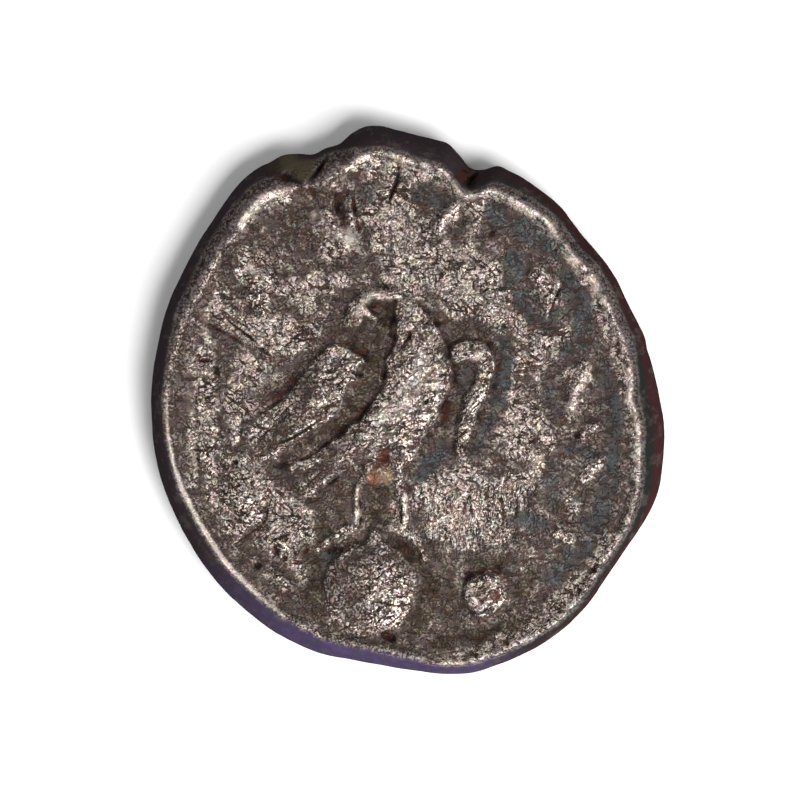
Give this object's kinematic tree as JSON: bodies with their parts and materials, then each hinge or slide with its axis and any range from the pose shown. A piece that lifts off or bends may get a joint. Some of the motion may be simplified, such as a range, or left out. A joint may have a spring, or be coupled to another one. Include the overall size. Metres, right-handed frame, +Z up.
{
  "type": "denarius coin",
  "caption": "Worn struck silver coin on an irregular flan, with an eagle on a globe, a raised border and plain strokes for its inscription.",
  "frame": {"origin": "middle of the underside, on the surface that the coin lies on", "axes": "+Z up through the eagle side, +Y towards the eagle's head, +X to the right when looking down on it"},
  "size_m": [0.0174, 0.0184, 0.0019],
  "materials": {
    "struck_silver": "satin"
  },
  "bodies": {
    "root": {"coin": "struck_silver"}
  },
  "joints": []
}
